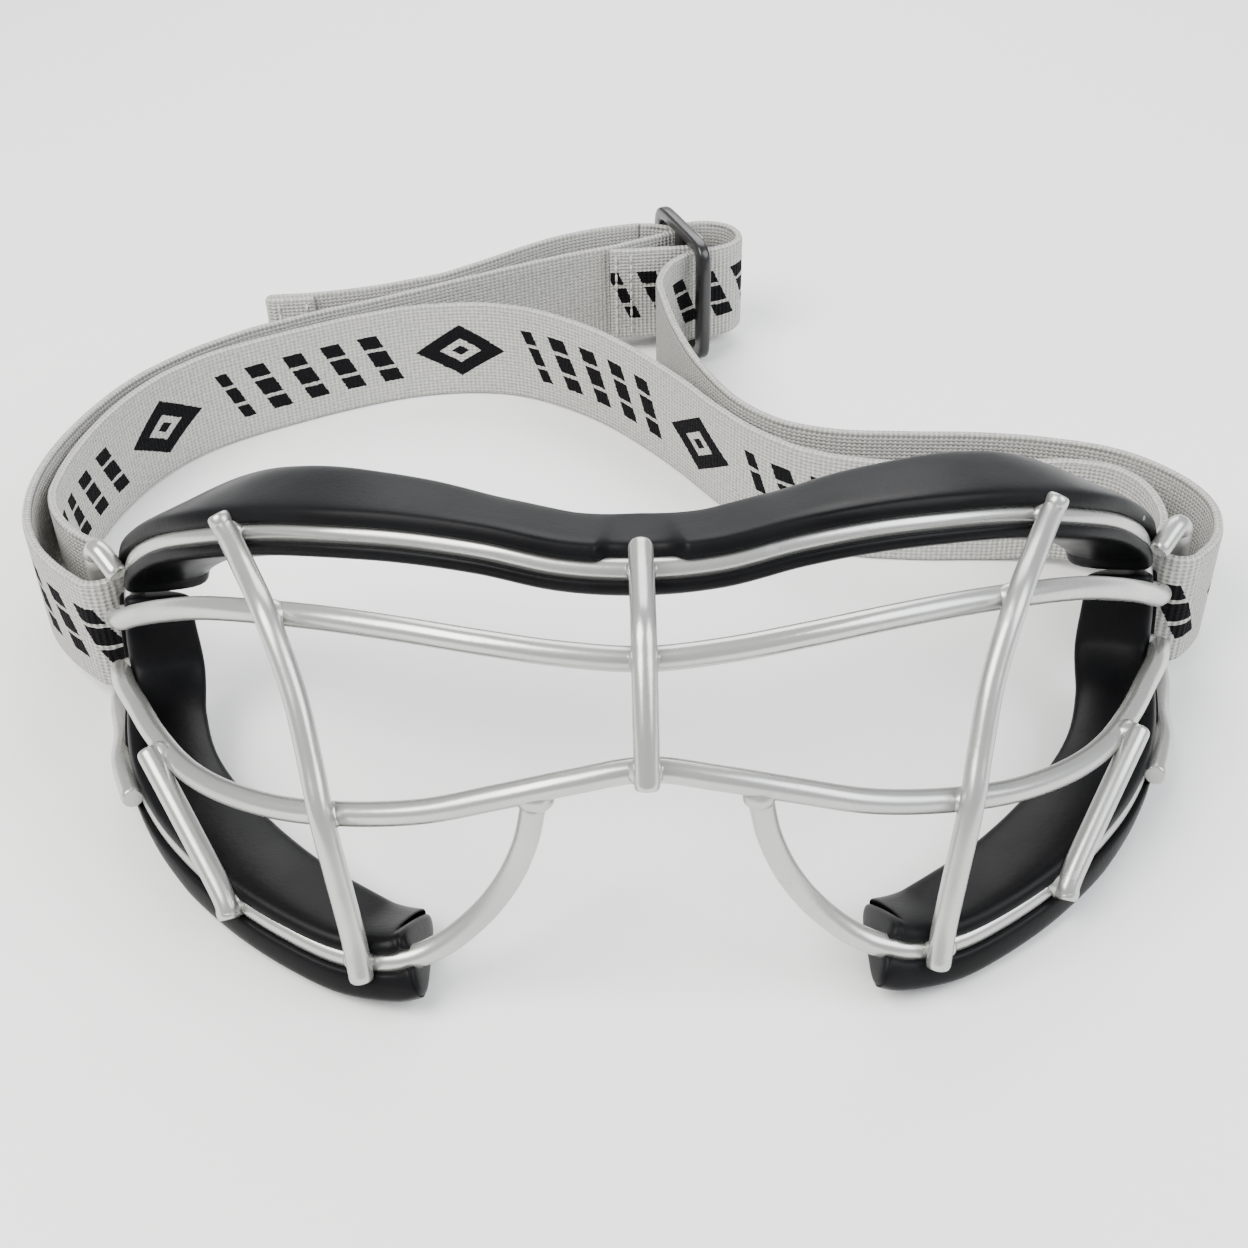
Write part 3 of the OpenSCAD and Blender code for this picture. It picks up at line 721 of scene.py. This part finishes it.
leftBand = [
    [-97.6, 112.6, 0.15], [-94.9, 122, 0], [-91.2, 129.3, 0], [-86.4, 135.6, 0],
    [-80.5, 141.4, 0], [-73.8, 146.6, 0], [-66.5, 150.9, 0], [-59.3, 154.5, 0], [-52, 157.6, 0],
    [-44.5, 160.4, 0.08], [-29.5, 165.4, 0.36], [-15, 169.6, 0.68],
]
rightBand = [
    [83.5, 93.2, 0.4], [78.5, 97.4, 0.25], [72.5, 100.6, 0.1], [62, 103.6, 0], [48, 104.8, 0],
    [38, 105.6, 0], [30, 107.6, 0], [24.3, 111, 0], [18.4, 117.8, 0], [12.6, 129.5, 0.16], [8.6, 141, 0.56],
]
tailRun = [
    [-13.6, 179.6, 0.8], [-21.8, 176.4, 0.5], [-30, 172.4, 0.2], [-37.7, 168.8, 0], [-45.5, 165.8, 0],
    [-54, 163.2, 0], [-62.6, 161.6, 0], [-70.3, 161, 0],
]
foldR = sliderFacts["bar"] / 2 + 1.05 + strapFacts["thick"] / 2
foldTurn = np.radians(range(-90, 91, 30))
foldArc = [bySlider(foldR * math.sin(a), foldR * math.cos(a)) for a in foldTurn]
seamStart = bySlider(2.35 - strapFacts["thick"], -15.5)
endFold = [
    seamStart, bySlider(-1.4, -8.5), bySlider(-foldR, -1), *foldArc, bySlider(foldR, -1), bySlider(2.8, -9),
]
adjustS = foldR + strapFacts["thick"] + 1.1
adjusting = [
    bySlider(-20.6, -13), bySlider(-15.4, -11.4), bySlider(-10.8, -8.2), bySlider(-7.9, -4.6),
    bySlider(-adjustS, 0), bySlider(-6.6, 4), bySlider(-6, 8.2), bySlider(-3.4, 11.1),
    bySlider(0.8, 11.4), bySlider(4, 9.2), bySlider(5.9, 5.4), bySlider(adjustS, 0),
    bySlider(8.6, -3.2), bySlider(9.6, -5.4),
]
lift = strapFacts["loopLift"]
strapPath = np.vstack([
    endFold, [bySlider(2.4, -15.5)], strapAt(leftBand[::-1], lift), strapAt(leftOuter, lift), barTurn(-1),
    strapAt(leftInner, lift), strapAt(backBand, lift), strapAt(rightInner, lift), barTurn(1)[::-1],
    strapAt(rightOuter, lift), strapAt(rightBand, lift), adjusting,
])


def evenPath(path, step):
    # the same line with its points an even distance apart
    lengths = np.concatenate([[0], np.cumsum(np.linalg.norm(np.diff(path, axis=0), axis=1))])
    count = max(2, int(round(lengths[-1] / step)) + 1)
    at = np.linspace(0, lengths[-1], count)
    return np.stack([np.interp(at, lengths, path[:, k]) for k in range(3)], -1), at


def clothProfile():
    # a flat band on edge: two faces and two round selvedges; offset is to the right of the path
    half, h = strapFacts["width"] / 2, strapFacts["thick"] / 2
    flat = np.linspace(-(half - h), half - h, 15)
    turn = np.radians(np.linspace(90, -90, 7)[1:-1])
    right = [[h, y] for y in flat]
    top = [[h * math.sin(a), half - h + h * math.cos(a)] for a in turn]
    left = [[-h, y] for y in flat[::-1]]
    low = [[-h * math.sin(a), -(half - h) - h * math.cos(a)] for a in turn]
    shape = np.array(right + top + left + low)
    rightV = [y + half for _, y in right] + [half * 2 + 0.3 * k for k in range(1, 6)]
    leftV = [40 + half - y for _, y in left] + [60 + 0.3 * k for k in range(1, 6)] + [62]
    return shape, np.array(rightV + leftV)


def ribbonGrid(path, uStart=0.0, step=0.9):
    even, at = evenPath(path, step)
    even[:, 2] = np.maximum(even[:, 2], 0)
    tangents = alongPath(even)
    rightward = unit(np.stack([tangents[:, 1], -tangents[:, 0], 0 * at], -1))
    shape, v = clothProfile()
    half = strapFacts["width"] / 2
    wave = strapFacts["edgeWave"] * (1 + np.sin(at * 0.31) * np.sin(at * 0.173 + 1))
    height = shape[None, :, 1] * (1 - wave[:, None] / 24) + half
    grid = even[:, None] + shape[None, :, :1] * rightward[:, None]
    grid[..., 2] = even[:, None, 2] + height
    uv = np.stack(np.broadcast_arrays((uStart + at)[:, None], v[None, :]), -1)
    return grid, uv, at[-1]


strapLine = smoothRun(strapPath, strapFacts["perSpan"])
grid, uv, strapLength = ribbonGrid(strapLine)
strapPiece = pieceFromGrids("strapWebbing", [intoPlace(grid)], webbing, uvs=[uv])
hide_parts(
    "strap_back_band", "strap_left_loop", "strap_right_loop", "strap_left_band",
    "strap_right_band", "strap_end_fold", "strap_adjusting_loop",
)
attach(strapPiece, "strap")

# The tail starts where the webbing leaves the slider, and ends in a hem folded over once.
hemFacts = {"length": 8.0, "threadRadius": 0.3, "stitches": 9, "rows": (1.2, 6.6)}
tailFirst = np.array(bySlider(9.6, -5.4))
tailStep = unit(np.array(bySlider(10.2, -6.8)) - tailFirst)
tailPoints = np.vstack([[tailFirst + 1.2 * tailStep], [bySlider(11, -13)], strapAt(tailRun, sliderLift)])
hemEnd = tailPoints[-1]
hemIn = unit(tailPoints[-2] - hemEnd)
hemSide = np.array([-hemIn[1], hemIn[0], 0]) * strapFacts["thick"]
hemSide = hemSide if hemSide[1] < 0 else -hemSide
# the fold is half a turn, from the band's own line to one thickness beside it
a = np.linspace(0, math.pi, 7)[1:, None]
hemTurn = hemEnd + hemSide * (0.5 - 0.5 * np.cos(a)) - hemIn * strapFacts["thick"] / 2 * np.sin(a)
tailLine = smoothRun(np.vstack([[tailFirst], tailPoints]), strapFacts["perSpan"])
hemLine = np.vstack([hemTurn, [hemEnd + hemSide * 1.02 + hemIn * d for d in (2, 4, 6, hemFacts["length"])]])
grid, uv, tailLength = ribbonGrid(np.vstack([tailLine, hemLine]), uStart=strapLength, step=0.5)
tailPiece = pieceFromGrids("strapTail", [intoPlace(grid)], webbing, uvs=[uv])
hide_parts("strap_tail", "tail_hem")
blendFrom = intoPlace(tailFirst)
blendTo = intoPlace(tailFirst + 4.0 * tailStep)
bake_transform(tailPiece)
print("webbing made", round(strapLength), round(tailLength), "mm")


# ---------- stitches ----------
def stitchGrids(base, normal):
    # upright stitches in a row: a thread that rises out of the cloth and goes back in, as half a sine
    width, count = strapFacts["width"], hemFacts["stitches"]
    step = (width - 2.4) / count
    rise = np.linspace(0, 1, 9)
    grids = []
    for i in range(count):
        z = 1.2 + (i + 0.12 + 0.76 * rise) * step
        stand = strapFacts["thick"] / 2 - 0.12 + 0.34 * np.sin(np.pi * rise)
        path = base + stand[:, None] * normal + np.stack([0 * z, 0 * z, z], -1)
        grids.append(tubeGrid(path, hemFacts["threadRadius"] * 0.8, 8))
    return grids


def stitchPiece(name, node, body, start, direction, normal, rows):
    grids = [g for d in rows for g in stitchGrids(start + d * direction, normal)]
    piece = pieceFromGrids(name, [intoPlace(g) for g in grids], sewingThread)
    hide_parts(node)
    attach(piece, body)


seamStep = unit(np.array(bySlider(-1.4, -8.5)) - seamStart)
seamNormal = np.array([seamStep[1], -seamStep[0], 0])
stitchPiece("endStitching", "end_stitching", "strap", np.array(seamStart), seamStep, seamNormal, (1.2, 4.2))
stitchPiece("hemStitching", "hem_stitching", "tail", hemEnd + hemSide, hemIn, unit(hemSide), hemFacts["rows"])
print("stitches made")


# ---------- slider ----------
def roundedLoop(halfS, halfZ, squareness, count):
    # a superellipse |s|^q + |z|^q = 1, taken at even angles so that two such loops match point for point
    a = np.linspace(0, 2 * np.pi, count, endpoint=False)
    c, s = np.cos(a), np.sin(a)
    across = halfS * np.sign(c) * np.abs(c) ** (2 / squareness)
    upward = halfZ * np.sign(s) * np.abs(s) ** (2 / squareness)
    return np.stack([across, upward], -1)


def roundedSection(count=16, squareness=4.0):
    # unit square with soft corners, from -1 to 1 both ways
    a = np.linspace(0, 2 * np.pi, count, endpoint=False) + 0.2
    ends = np.stack([np.cos(a), np.sin(a)], -1)
    return np.sign(ends) * np.abs(ends) ** (2 / squareness)


def sliderPlace(s, n, z):
    c, k = math.cos(math.radians(sliderFacts["turn"])), math.sin(math.radians(sliderFacts["turn"]))
    return np.stack([sliderMid[0] + n * c - s * k, sliderMid[1] + s * c + n * k, z + 0 * s], -1)


def sliderGrids():
    halfS = sliderFacts["length"] / 2
    halfZ = strapFacts["width"] / 2 + sliderLift
    around, windowS, windowZ = sliderFacts["around"], halfS - sliderFacts["bar"], halfZ - sliderFacts["rail"]
    outer = roundedLoop(halfS, halfZ, sliderFacts["outside"], around)
    inner = roundedLoop(windowS, windowZ, sliderFacts["window"], around)
    sec = roundedSection()
    share = (sec[:, 0] + 1) / 2
    loop = inner[:, None] * (1 - share[None, :, None]) + outer[:, None] * share[None, :, None]
    n = sec[None, :, 1] * sliderFacts["thick"] / 2 * np.ones((len(loop), 1))
    ring = sliderPlace(loop[..., 0], n, loop[..., 1] + halfZ)
    z = np.linspace(sliderFacts["rail"] * 0.5, 2 * halfZ - sliderFacts["rail"] * 0.5, 24)
    s = sec[None, :, 0] * sliderFacts["bar"] / 2 * np.ones((24, 1))
    n = sec[None, :, 1] * sliderFacts["thick"] / 2 * np.ones((24, 1)) * 0.96
    bar = sliderPlace(s, n, np.repeat(z[:, None], sec.shape[0], 1))
    return ring, bar


ring, bar = sliderGrids()
sliderRing = pieceFromGrids("sliderFrame", [intoPlace(ring)], sliderPlastic, closedRows=True)
sliderBar = pieceFromGrids("sliderMiddleBar", [intoPlace(bar)], sliderPlastic)
for piece in (sliderRing, sliderBar):
    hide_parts("slider")
    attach(piece, "slider")
print("slider made")

# ---------- floor, light and camera ----------
studioFacts = {"floor": (0.97, 0.97, 0.965), "world": 0.7, "key": 8.0, "fill": 3.6, "rim": 4.0}


def studio(low, high):
    centre = (low + high) / 2
    mesh = bpy.data.meshes.new("floor")
    far = 3.0
    mesh.from_pydata([(-far, -far, 0), (far, -far, 0), (far, far, 0), (-far, far, 0)], [], [(0, 1, 2, 3)])
    mesh.transform(Matrix.Translation((centre[0], centre[1], low[2] - 0.0001)))
    floor = bpy.data.objects.new("floor", mesh)
    bpy.context.scene.collection.objects.link(floor)
    finish = Finish("floorPaper", Roughness=0.9)
    finish.shader.inputs["Base Color"].default_value = (*studioFacts["floor"], 1)
    mesh.materials.append(finish.material)
    world = bpy.data.worlds.new("softRoom")
    world.use_nodes = True
    world.node_tree.nodes["Background"].inputs["Color"].default_value = (0.95, 0.97, 1.0, 1)
    world.node_tree.nodes["Background"].inputs["Strength"].default_value = studioFacts["world"]
    bpy.context.scene.world = world
    lamps = [
        ("keyPanel", (-0.35, -0.25, 0.55), 0.45, studioFacts["key"], (1.0, 0.98, 0.94)),
        ("fillPanel", (0.45, -0.20, 0.40), 0.40, studioFacts["fill"], (0.94, 0.97, 1.0)),
        ("rimPanel", (0.05, 0.50, 0.45), 0.50, studioFacts["rim"], (1.0, 1.0, 1.0)),
    ]
    for name, spot, size, power, tint in lamps:
        lamp = bpy.data.lights.new(name, "AREA")
        lamp.shape, lamp.size, lamp.energy, lamp.color = "SQUARE", size, power, tint
        panel = bpy.data.objects.new(name, lamp)
        panel.location = Vector(centre) + Vector(spot)
        panel.rotation_euler = (-Vector(spot)).to_track_quat("-Z", "Y").to_euler()
        bpy.context.scene.collection.objects.link(panel)


cameraFacts = {"spot": (2.087, -236.44, 174.0), "down": 38.0, "roll": -1.3, "lens": 49.0385, "sensor": 36}


def placeCamera(low, high):
    # straight ahead along +Y, pitched down, then rolled a little about its own line of sight
    down, roll = math.radians(cameraFacts["down"]), math.radians(cameraFacts["roll"])
    ahead = np.array([0, math.cos(down), -math.sin(down)])
    right = np.array([1.0, 0, 0])
    up = np.cross(right, ahead)
    right, up = right * math.cos(roll) + up * math.sin(roll), up * math.cos(roll) - right * math.sin(roll)
    camera = bpy.data.cameras.new("camera")
    camera.sensor_width = cameraFacts["sensor"]
    camera.lens = cameraFacts["lens"]
    camera.clip_start = 0.01
    holder = bpy.data.objects.new("camera", camera)
    centre = (low + high) / 2
    spot = Vector((centre[0], centre[1], low[2])) + Vector(cameraFacts["spot"]) * mm
    turn = Matrix(np.stack([right, up, -ahead], 1).tolist()).to_4x4()
    holder.matrix_world = Matrix.Translation(spot) @ turn
    bpy.context.scene.collection.objects.link(holder)
    bpy.context.scene.camera = holder


cadLow, cadHigh = (Vector(c) for c in cadBox)
studio(cadLow, cadHigh)
placeCamera(cadLow, cadHigh)
print("studio made")
